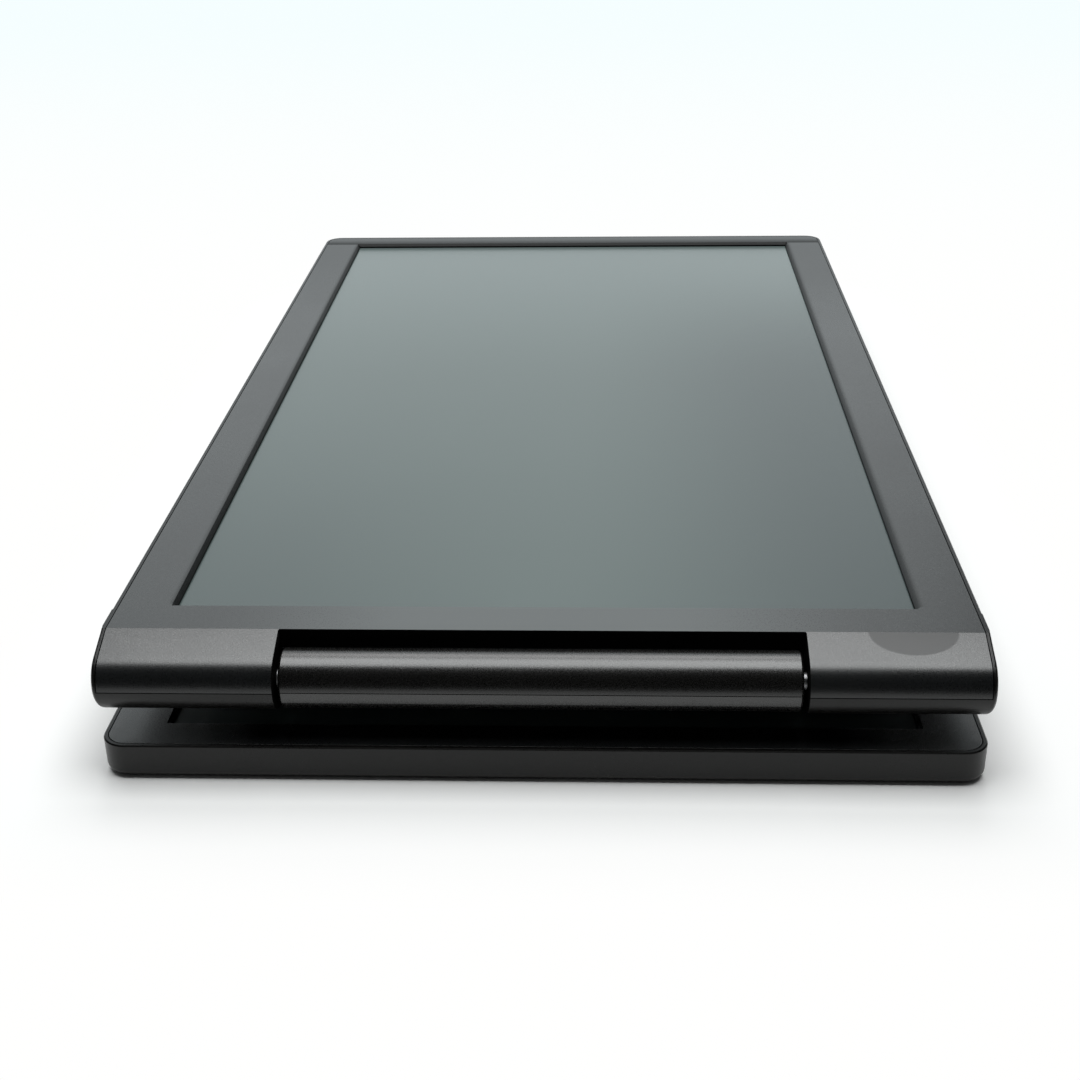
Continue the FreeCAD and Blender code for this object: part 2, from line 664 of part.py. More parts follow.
def screw_holes(spots):
    """The holes for those screws."""
    holes = []
    for x, y in spots:
        holes.append(prism(x, y, BRACKET_MID - SCREW_BITE, BRACKET_TOP, SCREW_RADIUS + FIT / 2))
        holes.append(prism(x, y, BRACKET_TOP - SCREW_HEAD, BRACKET_TOP + 1,
                           SCREW_HEAD_RADIUS + FIT, 8))
    return holes


def halves(body, spots):
    """Split a bracket half into its front and back shell, with the screw holes cut."""
    front = body.common(box(-BIG, BIG, -BIG, BIG, -BIG, BRACKET_MID))
    back = body.common(box(-BIG, BIG, -BIG, BIG, BRACKET_MID, BIG))
    holes = screw_holes(spots)
    return front.cut(holes), back.cut(holes)


def hooks(toward):
    """Two hooks of one bracket half; toward is the Y direction of their open side."""
    y_in = -toward * HOOK_SPAN / 2
    y_out = y_in - toward * HOOK_POST
    y_lip = y_in + toward * HOOK_REACH
    y_foot = y_in + toward * (HOOK_FOOT - HOOK_POST)
    lip_low = DISPLAY_THICK + HOOK_FLOAT
    pair = []
    for side in (-1, 1):
        x0 = side * HOOK_SIDE - HOOK_WIDTH / 2
        x1 = x0 + HOOK_WIDTH
        ys = sorted((y_out, y_in))
        upright = box(x0, x1, ys[0], ys[1], lip_low, BRACKET_FRONT)
        corner = [e for e in upright.Edges
                  if abs(e.CenterOfMass.z - lip_low) < 1e-6 and abs(e.CenterOfMass.y - y_out) < 1e-6]
        upright = upright.makeChamfer(HOOK_LIP, corner)
        ls = sorted((y_in, y_lip))
        lip = box(x0, x1, ls[0], ls[1], lip_low, lip_low + HOOK_LIP)
        tip = [e for e in lip.Edges
               if abs(e.CenterOfMass.y - y_lip) < 1e-6 and e.BoundBox.ZLength > HOOK_LIP / 2]
        lip = lip.makeChamfer(HOOK_REACH / 2, tip)
        fs = sorted((y_out, y_foot))
        foot = box(x0, x1, fs[0], fs[1], BRACKET_FRONT, BRACKET_FRONT + HOOK_FOOT_THICK)
        pair.append(joined([upright, lip, foot]))
    return group(pair)


def hook_pockets(toward):
    """The pockets in the bracket's front that the hooks' feet are set in."""
    y_out = -toward * (HOOK_SPAN / 2 + HOOK_POST)
    y_foot = -toward * (HOOK_SPAN / 2) + toward * (HOOK_FOOT - HOOK_POST)
    ys = sorted((y_out - toward * FIT, y_foot + toward * FIT))
    pockets = []
    for side in (-1, 1):
        x0 = side * HOOK_SIDE - HOOK_WIDTH / 2 - FIT
        pockets.append(box(x0, x0 + HOOK_WIDTH + 2 * FIT, ys[0], ys[1],
                           BRACKET_FRONT - 1, BRACKET_FRONT + HOOK_FOOT_THICK))
    return pockets


def hook_pads(toward):
    """Soft pads inside the hooks: one on the lip and one on the post of each."""
    y_in = -toward * HOOK_SPAN / 2
    lip_top = DISPLAY_THICK + HOOK_FLOAT + HOOK_LIP
    pads = []
    for side in (-1, 1):
        x0 = side * HOOK_SIDE - HOOK_WIDTH / 2 + 1
        x1 = x0 + HOOK_WIDTH - 2
        ys = sorted((y_in, y_in + toward * (HOOK_REACH - 1)))
        sole = box(x0 + 2, x1 - 2, ys[0], ys[1], lip_top, lip_top + PAD_THICK)
        ys = sorted((y_in, y_in + toward * PAD_THICK))
        cheek = box(x0, x1, ys[0], ys[1], lip_top, BRACKET_FRONT)
        pads.append(joined([sole, cheek]))
    return group(pads)


def lid_foam(y0):
    """Foam strips on the bracket's front, against the laptop lid's back."""
    strips = [box(side * FOAM_SIDE - FOAM_WIDTH / 2, side * FOAM_SIDE + FOAM_WIDTH / 2,
                  y0, y0 + FOAM_LENGTH, BRACKET_FRONT - FOAM_THICK, BRACKET_FRONT)
              for side in (-1, 1)]
    return group(strips)


def near_half():
    """The near bracket half with its barrel, hooks and the sliding plate."""
    y0 = BRACKET_NEAR_Y
    y1 = SPLIT_Y - SPLIT_GAP
    slide_start = y1 - SLIDE_IN_NEAR
    foot_z = -(UPPER_AXIS_Z - BRACKET_MID) + LEAF_THICK / 2
    body = bracket_plate(y0, y1, BRACKET_CORNER, 0)
    barrel = at_hinge(barrel_skin(-1), -HINGE_Y, UPPER_AXIS_Z)
    neck = near_neck().cut(barrel_hollow(-HINGE_Y, UPPER_AXIS_Z))
    spots = bracket_screw_spots(y0 + FRAME_SCREW_END, y1 - FRAME_SCREW_END)
    slide_fit = box(-SLIDE_WIDTH / 2 - FIT, SLIDE_WIDTH / 2 + FIT, slide_start - FIT, y1 + 1,
                    BRACKET_MID - SLIDE_THICK / 2, BRACKET_MID + SLIDE_THICK / 2)
    pockets = [slide_fit] + hook_pockets(1)
    pockets += tab_pocket(-HINGE_Y, UPPER_AXIS_Z, 1, UPPER_AXIS_Z + foot_z, SLEEVE_TAB)
    body = joined([body, neck, barrel]).cut(pockets)
    front, back = halves(body, spots)
    slide = box(-SLIDE_WIDTH / 2, SLIDE_WIDTH / 2, slide_start, SPLIT_Y + SLIDE_IN_FAR,
                BRACKET_MID - SLIDE_THICK / 2, BRACKET_MID + SLIDE_THICK / 2)
    sleeve = sleeve_pair(foot_z, SLEEVE_TAB)
    sleeves = at_hinge(group([sleeve, mirrored_x(sleeve)]), -HINGE_Y, UPPER_AXIS_Z)
    return {
        "near_frame_front": front,
        "near_frame_back": back,
        "near_barrel_cover": at_hinge(barrel_skin(1), -HINGE_Y, UPPER_AXIS_Z),
        "near_hinge_sleeves": sleeves,
        "near_lid_hooks": hooks(1),
        "near_hook_pads": hook_pads(1),
        "near_frame_screws": bracket_screws(spots),
        "near_lid_foam": lid_foam(y0 + FOAM_END),
        "slide_plate": slide,
    }


def slide_rails(y0, y1):
    """Plastic rails in the far half, one along each edge of the sliding plate."""
    x0 = SLIDE_WIDTH / 2 - RAIL_WIDTH / 2
    x1 = SLIDE_WIDTH / 2 + RAIL_GAP + RAIL_WIDTH
    rail = box(x0, x1, y0, y1, BRACKET_MID - CHANNEL_HEIGHT / 2, BRACKET_MID + CHANNEL_HEIGHT / 2)
    groove = box(x0 - 1, SLIDE_WIDTH / 2 + RAIL_GAP, y0 - 1, y1 + 1,
                 BRACKET_MID - SLIDE_THICK / 2 - RAIL_GAP, BRACKET_MID + SLIDE_THICK / 2 + RAIL_GAP)
    rail = rail.cut(groove)
    return group([rail, mirrored_x(rail)])


def far_half():
    """The far bracket half with its dropped barrel, hooks and the rails."""
    y0 = SPLIT_Y
    y1 = BRACKET_FAR_Y
    rail_end = y0 + SLIDE_IN_FAR
    drop = BRACKET_MID - LOWER_AXIS_Z
    body = bracket_plate(y0, y1, 0, BRACKET_CORNER)
    neck = far_neck().cut(barrel_hollow(HINGE_Y, LOWER_AXIS_Z))
    spots = bracket_screw_spots(y0 + FRAME_SCREW_END, y1 - FRAME_SCREW_END)
    sleeve = sleeve_pair(drop + LEAF_THICK / 2, SLEEVE_TAB)
    sleeve = sleeve.rotate(V(0, 0, 0), V(0, 0, 1), 180)
    sleeves = at_hinge(group([sleeve, mirrored_x(sleeve)]), HINGE_Y, LOWER_AXIS_Z)
    pockets = [channel(y0 - 1, rail_end + CHANNEL_SPARE)] + hook_pockets(-1)
    pockets += tab_pocket(HINGE_Y, LOWER_AXIS_Z, -1, BRACKET_MID + LEAF_THICK / 2, SLEEVE_TAB)
    barrel = at_hinge(barrel_skin(1), HINGE_Y, LOWER_AXIS_Z)
    body = joined([body, neck, barrel]).cut(pockets)
    front, back = halves(body, spots)
    cover = at_hinge(barrel_skin(-1), HINGE_Y, LOWER_AXIS_Z)
    return {
        "far_frame_front": front,
        "far_frame_back": back,
        "far_barrel_cover": cover,
        "far_hinge_sleeves": sleeves,
        "far_lid_hooks": hooks(-1),
        "far_hook_pads": hook_pads(-1),
        "far_frame_screws": bracket_screws(spots),
        "far_lid_foam": lid_foam(y1 - FOAM_END - FOAM_LENGTH),
        "slide_rails": slide_rails(y0 + FIT, rail_end),
    }


def placed(pieces, half_turn, y, z):
    """Set a display's pieces at their hinge, turned end for end if asked."""
    result = {}
    for name, shape in pieces.items():
        moved = shape.copy()
        if half_turn:
            moved.rotate(V(0, 0, 0), V(0, 0, 1), 180)
        moved.translate(V(0, y, z))
        result[name] = moved
    return result


def assembly():
    """Every sub-part of the folded extender, in place."""
    upper_face = DISPLAY_THICK + UPPER_AXIS_DROP
    upper = Display(upper_face, UPPER_SLOPE_TURN, -1, "upper")
    lower = Display(-LOWER_AXIS_RISE, LOWER_SLOPE_TURN, 1, "lower")
    parts = {}
    parts.update(placed(upper.pieces(), False, -HINGE_Y, UPPER_AXIS_Z))
    parts.update(placed(lower.pieces(), True, HINGE_Y, LOWER_AXIS_Z))
    parts.update(near_half())
    parts.update(far_half())
    return parts


os.makedirs("parts", exist_ok=True)
for part_name, part_shape in assembly().items():
    if not part_shape.isValid():
        raise ValueError(f"{part_name} is not a valid solid")
    part_shape.exportStep(f"parts/{part_name}.step")
    print(part_name, len(part_shape.Solids), round(part_shape.Volume, 1))
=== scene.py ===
"""Looks of the folded laptop screen extender: finishes, studio and camera round the frame."""

import json
import math

import bmesh
import bpy
from mathutils import Matrix, Vector


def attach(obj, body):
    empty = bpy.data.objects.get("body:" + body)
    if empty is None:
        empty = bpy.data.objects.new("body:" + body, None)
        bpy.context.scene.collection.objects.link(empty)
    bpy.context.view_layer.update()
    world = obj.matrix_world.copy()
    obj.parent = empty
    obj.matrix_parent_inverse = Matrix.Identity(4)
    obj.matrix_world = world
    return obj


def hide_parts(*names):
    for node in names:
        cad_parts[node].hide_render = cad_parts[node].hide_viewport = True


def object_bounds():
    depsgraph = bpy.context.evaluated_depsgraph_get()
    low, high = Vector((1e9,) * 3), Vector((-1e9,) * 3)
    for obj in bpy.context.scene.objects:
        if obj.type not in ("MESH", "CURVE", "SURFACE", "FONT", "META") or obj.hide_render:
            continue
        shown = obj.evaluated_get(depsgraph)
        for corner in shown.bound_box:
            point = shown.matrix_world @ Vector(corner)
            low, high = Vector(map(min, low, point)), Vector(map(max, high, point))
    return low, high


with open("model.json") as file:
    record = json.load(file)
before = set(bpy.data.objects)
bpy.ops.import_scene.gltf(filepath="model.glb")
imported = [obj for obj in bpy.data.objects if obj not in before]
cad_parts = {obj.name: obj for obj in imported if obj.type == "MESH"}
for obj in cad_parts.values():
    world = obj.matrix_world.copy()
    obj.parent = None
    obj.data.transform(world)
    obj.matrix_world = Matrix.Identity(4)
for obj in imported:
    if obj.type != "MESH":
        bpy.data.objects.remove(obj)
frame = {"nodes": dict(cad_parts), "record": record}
cad_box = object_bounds()

MM = 0.001

# The camera, worked out from the picture's edges, with its angles in degrees
CAMERA_PLACE_MM = (15.25, -475.24, 210.87)
CAMERA_PITCH = 26.205
CAMERA_YAW = -2.718
CAMERA_ROLL = -1.023
FOCAL_PIXELS = 1590.4
FRAME_PIXELS = 1080
SENSOR_MM = 36.0
CLIP_START = 0.01

# Studio, in metres, with linear colours
WHITE = (1.0, 1.0, 1.0)
FLOOR_SIZE = 6.0
FLOOR_COLOUR = (0.93, 0.93, 0.925)
FLOOR_ROUGH = 0.9
FLOOR_SPECULAR = 0.1
FLOOR_NEAR_COLOUR = (1.0, 1.0, 0.995)
FLOOR_FAR_COLOUR = (0.915, 0.992, 1.0)
FLOOR_TINT_FROM = 0.1
FLOOR_TINT_AT = 1.1
# Painted dark reflection: glossy rays see the floor far in front near black
FLOOR_DARK_COLOUR = (0.05, 0.05, 0.05)
FLOOR_DARK_FROM = -0.19
FLOOR_DARK_AT = -0.30
FLOOR_WHITE_FROM = 0.010
FLOOR_WHITE_AT = 0.045
ANY_HEIGHT = 10.0  # above anything, so that only the distance along the floor counts
ROOM_LIGHT = 0.06
ROOM_GLOSS = 0.01
LAMPS = {
    # name: place, the point it faces, size, radiance and tint
    "top_box": ((0.0, -0.065, 1.0), (0.0, -0.065, 0.0), (0.95, 0.65), 5.2, (0.98, 1.0, 1.0)),
    "high_back_box": ((0.0, 0.82, 1.28), (0.0, -0.16, 0.02), (0.9, 0.56), 3.6, WHITE),
    "back_panel": ((-0.82, 2.2, 0.98), (-0.82, 0.0, 0.98), (3.2, 1.84), 1.08,
                   (0.93, 1.0, 1.02)),
}

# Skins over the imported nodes: the slots that get one, each with its bevel's width in mm
SKINS = {"housing_plastic": 0.0, "bezel_plastic": 0.2, "bracket_plastic": 0.0,
         "hook_plastic": 0.0, "button_plastic": 0.15, "hinge_steel": 0.0}
WELD_MM = 0.002
SMOOTH_DEGREES = 14.0
BEVEL_SEGMENTS = 2

# The colour sockets of Blender's Mix node, which share their names with others
MIX_SHARE, MIX_FIRST, MIX_SECOND, MIX_RESULT = 0, 6, 7, 2

# The value about which noise varies
NOISE_MIDDLE = 0.5

# Moulded plastic: how much its specks and clouds change its shade and gloss
GRAIN_DETAIL = 2.0
GRAIN_FALL = 0.6
CLOUD_PER_MM = 0.03
CLOUD_DETAIL = 3.0
SPECK_SCALE = 0.7
SPECK_DETAIL = 1.0
SPECK_FROM = 0.35
SPECK_AT = 0.65
SPECK_SHADE = 0.6
CLOUD_SHADE = 0.3
SPECK_GLOSS = 0.25
CLOUD_GLOSS = 0.12
GRAIN_LIGHT = 1.35
GRAIN_DARK = 0.75
SHELL_COLOUR = (0.0040, 0.0039, 0.0036)
SHELL_ROUGH = 0.32
SHELL_SPECULAR = 0.33
SHELL_GRAIN_PER_MM = 5.0
SHELL_GRAIN_MM = 0.012
BRACKET_ROUGH = 0.27
BRACKET_SPECULAR = 0.85
HOOK_ROUGH = 0.4
KEY_COLOUR = (0.030, 0.030, 0.031)
KEY_ROUGH = 0.38

# The frames round the screens
FRAME_COLOUR = (0.0050, 0.0058, 0.0062)
FRAME_ROUGH = 0.31
FRAME_SPECULAR = 0.8
FRAME_GRAIN_PER_MM = 6.0
FRAME_GRAIN_MM = 0.006
DULL_FROM_MM = 30.0
DULL_AT_MM = 165.0
DULL_SHARE = 0.9
DULL_SPECULAR = 0.3
WINDOW_HALF_MM = 87.0
WINDOW_NEAR_MM = -147.0
WINDOW_FAR_MM = 162.4
# Painted shade round the upper window's sides and far end
RIM_SIDE_MM = 2.3
RIM_FAR_MM = 7.5
RIM_SHARE = 0.75
RIM_SHADE_COLOUR = (0.004, 0.005, 0.005)
RIM_ROUGH = 0.6
RIM_SPECULAR = 0.1
# A painted reflection: a paler patch before the upper window's middle
REFLECTION_FROM_MM = 25.0
REFLECTION_TO_MM = 80.0
REFLECTION_PATCH_COLOUR = (0.055, 0.064, 0.064)
# Painted shade, near black and matt, on the windows' low inner walls and in the hinge notch
WINDOW_WALLS_MM = (((-87.3, -147.3, 30.4), (87.3, 162.7, 31.15)),
                   ((-87.3, -162.7, 7.4), (87.3, 147.3, 8.15)))
WALL_ROUGH = 0.6
WALL_SPECULAR = 0.2
NOTCH_LOW_MM = (-60.4, -172.0, 15.0)
NOTCH_HIGH_MM = (60.4, -158.8, 31.9)
RECESS_SHADE_COLOUR = (0.0012, 0.0012, 0.0012)
NOTCH_ROUGH = 0.8
NOTCH_SPECULAR = 0.05

# The film tab on the right lobe's slope, as a half ellipse: 1 is its own edge
TAB_X_MM = 84.4
TAB_HALF_WIDTH_MM = 10.35
TAB_TOP_Y_MM = -158.9
TAB_REACH_MM = 6.4
TAB_RIM_FROM = 0.95
TAB_RIM_AT = 0.985
TAB_TOP_SOFT = 0.01
TAB_RIM_LOSS = 0.5
TAB_COLOUR = (0.006, 0.0065, 0.007)
TAB_ROUGH = 0.3
TAB_SPECULAR = 0.47

# The screens' film
GLASS_DARK = (0.078, 0.104, 0.100)
GLASS_LIGHT = (0.090, 0.119, 0.114)
# A painted reflection at the far end, and painted shade to the right and near left
GLASS_FAR_REFLECTION = (0.112, 0.146, 0.142)
GLASS_PAINTED_SHADE = (0.030, 0.043, 0.044)
GLASS_ROUGH = 0.22
GLASS_ROUGH_SPREAD = 0.05
GLASS_SPECULAR = 0.5
GLASS_END_MM = 150.0
GLASS_EDGE_MM = 85.0
GLASS_RIGHT_SHADE = 0.8
GLASS_LEFT_SHADE = 0.45
HAZE_PER_MM = 14.0
HAZE_DETAIL = 1.0
HAZE_MM = 0.004
GLASS_CLOUD_PER_MM = 0.012
GLASS_CLOUD_DETAIL = 2.0

# Plain finishes and ground steel
PLAIN_DETAIL = 3.0
PLAIN_LIGHT = 1.15
PLAIN_DARK = 0.85
GLOSS_SPREAD = 0.2
STEEL_LIGHT = 1.2
STEEL_DARK = 0.8
STEEL_STRETCH = (0.03, 1.0, 1.0)
STEEL_LINES = 9000.0
STEEL_DETAIL = 2.0
STEEL_RELIEF_MM = 0.006


class Field:
    """A value that varies over a surface, with plain arithmetic on it."""

    def __init__(self, recipe, socket):
        self.recipe = recipe
        self.socket = socket

    def maths(self, operation, *others):
        """This value and others through one Math node."""
        return self.recipe.out("ShaderNodeMath", {"operation": operation}, [self, *others])

    def __add__(self, other):
        return self.maths("ADD", other)

    def __sub__(self, other):
        return self.maths("SUBTRACT", other)

    def __mul__(self, other):
        return self.maths("MULTIPLY", other)

    def __pow__(self, other):
        return self.maths("POWER", other)

    def __rsub__(self, other):
        return self.recipe.out("ShaderNodeMath", {"operation": "SUBTRACT"}, [other, self])

    def ramp(self, low, high):
        """0 at low and 1 at high, with a soft step between."""
        return self.recipe.out("ShaderNodeMapRange", {"interpolation_type": "SMOOTHSTEP"},
                               {"Value": self, "From Min": low, "From Max": high})


class Recipe:
    """One material's node tree, on Object coordinates."""

    def __init__(self, name):
        self.material = bpy.data.materials.new(name)
        self.material.use_nodes = True
        self.tree = self.material.node_tree
        self.surface = self.tree.nodes["Principled BSDF"]
        self.place = self.node("ShaderNodeTexCoord").outputs["Object"]

    def node(self, kind, settings=None, values=()):
        """A node with its settings and the values or links of its sockets."""
        made = self.tree.nodes.new(kind)
        for key, value in (settings or {}).items():
            setattr(made, key, value)
        pairs = values.items() if isinstance(values, dict) else enumerate(values)
        for key, value in pairs:
            self.feed(made.inputs[key], value)
        return made

    def out(self, kind, settings=None, values=(), output=0):
        """The same, and its output as a Field."""
        return Field(self, self.node(kind, settings, values).outputs[output])

    def feed(self, socket, value):
        """Link or set one socket."""
        if isinstance(value, Field):
            self.tree.links.new(value.socket, socket)
        elif isinstance(value, bpy.types.NodeSocket):
            self.tree.links.new(value, socket)
        else:
            socket.default_value = value

    def noise(self, per_mm, detail, rough=0.5):
        """Soft noise with so many blotches to the millimetre."""
        return self.out("ShaderNodeTexNoise", None,
                        {"Vector": self.place, "Scale": per_mm / MM, "Detail": detail,
                         "Roughness": rough})

    def axis(self, name):
        """One coordinate of the place, in metres."""
        split = self.node("ShaderNodeSeparateXYZ", None, [self.place])
        return Field(self, split.outputs[name])

    def mix(self, share, first, second):
        """A blend of two colours."""
        made = self.node("ShaderNodeMix", {"data_type": "RGBA"})
        self.feed(made.inputs[MIX_SHARE], share)
        for socket, colour in ((MIX_FIRST, first), (MIX_SECOND, second)):
            self.feed(made.inputs[socket],
                      colour if isinstance(colour, Field) else (*colour, 1.0))
        return Field(self, made.outputs[MIX_RESULT])

    def bump(self, height, depth_mm):
        """Fine relief from a height of 0 to 1."""
        made = self.node("ShaderNodeBump", None,
                         {"Strength": 1.0, "Distance": depth_mm * MM, "Height": height})
        self.tree.links.new(made.outputs["Normal"], self.surface.inputs["Normal"])

    def inside_box(self, low_mm, high_mm):
        """1 inside a box and 0 outside it."""
        share = 1.0
        for name, low, high in zip("XYZ", low_mm, high_mm):
            place = self.axis(name)
            inside = place.maths("GREATER_THAN", low * MM) * place.maths("LESS_THAN", high * MM)
            share = inside * share
        return share

    def cover_with(self, share, colour, roughness, specular):
        """Lay a second plain finish over the surface, fully where share is 1."""
        output = self.tree.nodes["Material Output"]
        below = output.inputs["Surface"].links[0].from_socket
        film = self.node("ShaderNodeBsdfPrincipled")
        for key, value in (("Base Color", (*colour, 1.0)), ("Roughness", roughness),
                           ("Specular IOR Level", specular)):
            self.feed(film.inputs[key], value)
        blend = self.node("ShaderNodeMixShader", values=[share, below, film.outputs[0]])
        self.tree.links.new(blend.outputs[0], output.inputs["Surface"])

    def set(self, **values):
        """Set or link the surface's own sockets; a socket's name has _ for its spaces."""
        for key, value in values.items():
            self.feed(self.surface.inputs[key.replace("_", " ")], value)


def grained(made, colour, roughness, grain_per_mm, grain_mm, specular):
    """Feed a recipe's surface with the grain of moulded plastic."""
    grain = made.noise(grain_per_mm, GRAIN_DETAIL, GRAIN_FALL)
    cloud = made.noise(CLOUD_PER_MM, CLOUD_DETAIL)
    speck = made.noise(grain_per_mm * SPECK_SCALE, SPECK_DETAIL)
    light = tuple(c * GRAIN_LIGHT for c in colour)
    dark = tuple(c * GRAIN_DARK for c in colour)
    made.bump(grain, grain_mm)
    shade = speck.ramp(SPECK_FROM, SPECK_AT) * SPECK_SHADE + cloud * CLOUD_SHADE
    made.set(Base_Color=made.mix(shade, dark, light),
             Roughness=((cloud - NOISE_MIDDLE) * CLOUD_GLOSS
                        + (speck - NOISE_MIDDLE) * SPECK_GLOSS + roughness),
             Specular_IOR_Level=specular)
    return made


def moulded(name, colour, roughness, grain_per_mm, grain_mm, specular=0.5):
    """Spark-eroded plastic: fine grain, a little uneven in shade and gloss."""
    made = Recipe(name)
    return grained(made, colour, roughness, grain_per_mm, grain_mm, specular).material


def dull_far_end(made):
    """The frame gets duller towards the far end."""
    far = made.axis("Y").ramp(DULL_FROM_MM * MM, DULL_AT_MM * MM)
    made.cover_with(far * DULL_SHARE, FRAME_COLOUR, FRAME_ROUGH, DULL_SPECULAR)
    return made


def paint_rim_shade_and_reflection(made):
    """Paint shade round the upper window's sides and far end, and a reflection before its middle.

    The solid is flat there. This follows the photo, and what causes it there isn't known.
    """
    along = made.axis("Y")
    across = made.axis("X").maths("ABSOLUTE")
    end = WINDOW_FAR_MM * MM
    start = WINDOW_NEAR_MM * MM
    side = 1 - across.ramp(WINDOW_HALF_MM * MM, (WINDOW_HALF_MM + RIM_SIDE_MM) * MM)
    beside = along.maths("GREATER_THAN", start) * along.maths("LESS_THAN", end)
    behind = along.maths("GREATER_THAN", end) * (1 - along.ramp(end, end + RIM_FAR_MM * MM))
    # Painted shade: a dark band beside the window and behind its far end
    made.cover_with((side * beside).maths("MAXIMUM", behind) * RIM_SHARE, RIM_SHADE_COLOUR, RIM_ROUGH,
                    RIM_SPECULAR)
    # Painted reflection: a paler patch before the window's middle
    middle = 1 - across.ramp(REFLECTION_FROM_MM * MM, REFLECTION_TO_MM * MM)
    before = along.maths("LESS_THAN", start) * along.maths("GREATER_THAN", TAB_TOP_Y_MM * MM)
    made.cover_with(middle * before, REFLECTION_PATCH_COLOUR, FRAME_ROUGH, FRAME_SPECULAR)


def shade_notch(made):
    """Paint shade on the upper hinge notch's walls: matt, without the outside's grain and gloss.
    """
    made.cover_with(made.inside_box(NOTCH_LOW_MM, NOTCH_HIGH_MM), RECESS_SHADE_COLOUR, NOTCH_ROUGH,
                    NOTCH_SPECULAR)
    return made


def shell_plastic():
    """The tubs' black moulding, with painted shade in the hinge notch."""
    made = grained(Recipe("black_shell"), SHELL_COLOUR, SHELL_ROUGH, SHELL_GRAIN_PER_MM,
                   SHELL_GRAIN_MM, SHELL_SPECULAR)
    return shade_notch(made).material


def frame_plastic(name):
    """The frames' satin moulding, duller at the far end."""
    made = grained(Recipe(name), FRAME_COLOUR, FRAME_ROUGH, FRAME_GRAIN_PER_MM, FRAME_GRAIN_MM,
                   FRAME_SPECULAR)
    return dull_far_end(made)


def shade_walls(made):
    """Paint shade on the windows' low inner walls and on the notch."""
    for low, high in WINDOW_WALLS_MM:
        made.cover_with(made.inside_box(low, high), RECESS_SHADE_COLOUR, WALL_ROUGH, WALL_SPECULAR)
    return shade_notch(made)


def film_tab(made):
    """A round-ended film tab stuck on the right lobe's slope."""
    across = (made.axis("X") - TAB_X_MM * MM) * (1 / (TAB_HALF_WIDTH_MM * MM))
    down = (made.axis("Y") - TAB_TOP_Y_MM * MM) * (1 / (TAB_REACH_MM * MM))
    reach = (across * across + down * down) ** 0.5
    tab = (1 - reach.ramp(TAB_RIM_AT, 1.0)) * (1 - down.ramp(-TAB_TOP_SOFT, 0.0))
    rim = reach.ramp(TAB_RIM_FROM, TAB_RIM_AT) * tab
    made.cover_with(tab - rim * TAB_RIM_LOSS, TAB_COLOUR, TAB_ROUGH, TAB_SPECULAR)


def upper_frame():
    """The upper frame, with its painted shade, painted reflection and the tab that the photo
    shows.
    """
    made = frame_plastic("satin_frame_tab")
    paint_rim_shade_and_reflection(made)
    shade_walls(made)
    film_tab(made)
    return made.material


def screen_face():
    """Anti-glare film over the panel: dark, faintly green, a painted reflection paler far off."""
    made = Recipe("anti_glare_film")
    haze = made.noise(HAZE_PER_MM, HAZE_DETAIL)
    cloud = made.noise(GLASS_CLOUD_PER_MM, GLASS_CLOUD_DETAIL)
    made.bump(haze, HAZE_MM)
    # Painted reflection: the film is paler towards the far end
    far = made.axis("Y").ramp(0.0, GLASS_END_MM * MM)
    near = made.axis("Y").ramp(0.0, -GLASS_END_MM * MM)
    right = made.axis("X").ramp(0.0, GLASS_EDGE_MM * MM)
    left = made.axis("X").ramp(0.0, -GLASS_EDGE_MM * MM)
    # Painted shade: darker to the right and to the near left
    shade = right * (1 - far) * GLASS_RIGHT_SHADE + left * near * GLASS_LEFT_SHADE
    plain_film = made.mix(cloud, GLASS_DARK, GLASS_LIGHT)
    made.set(Base_Color=made.mix(shade, made.mix(far, plain_film, GLASS_FAR_REFLECTION), GLASS_PAINTED_SHADE),
             Roughness=cloud * GLASS_ROUGH_SPREAD + GLASS_ROUGH,
             Specular_IOR_Level=GLASS_SPECULAR)
    return made.material


def plain(name, colour, roughness, metallic=0.0, per_mm=2.0, relief_mm=0.01):
    """A simple finish with a trace of unevenness."""
    made = Recipe(name)
    blotch = made.noise(per_mm, PLAIN_DETAIL)
    light = tuple(min(1.0, c * PLAIN_LIGHT) for c in colour)
    dark = tuple(c * PLAIN_DARK for c in colour)
    made.bump(blotch, relief_mm)
    made.set(Base_Color=made.mix(blotch, dark, light),
             Roughness=(blotch - NOISE_MIDDLE) * GLOSS_SPREAD + roughness, Metallic=metallic)
    return made.material


def brushed(name, colour, roughness):
    """Ground steel with its lines along X."""
    made = Recipe(name)
    stretch = made.node("ShaderNodeMapping", None, {"Vector": made.place, "Scale": STEEL_STRETCH})
    lines = made.out("ShaderNodeTexNoise", None,
                     {"Vector": stretch.outputs[0], "Scale": STEEL_LINES,
                      "Detail": STEEL_DETAIL})
    light = tuple(min(1.0, c * STEEL_LIGHT) for c in colour)
    dark = tuple(c * STEEL_DARK for c in colour)
    made.bump(lines, STEEL_RELIEF_MM)
    made.set(Base_Color=made.mix(lines, dark, light),
             Roughness=lines * GLOSS_SPREAD + roughness, Metallic=1.0)
    return made.material


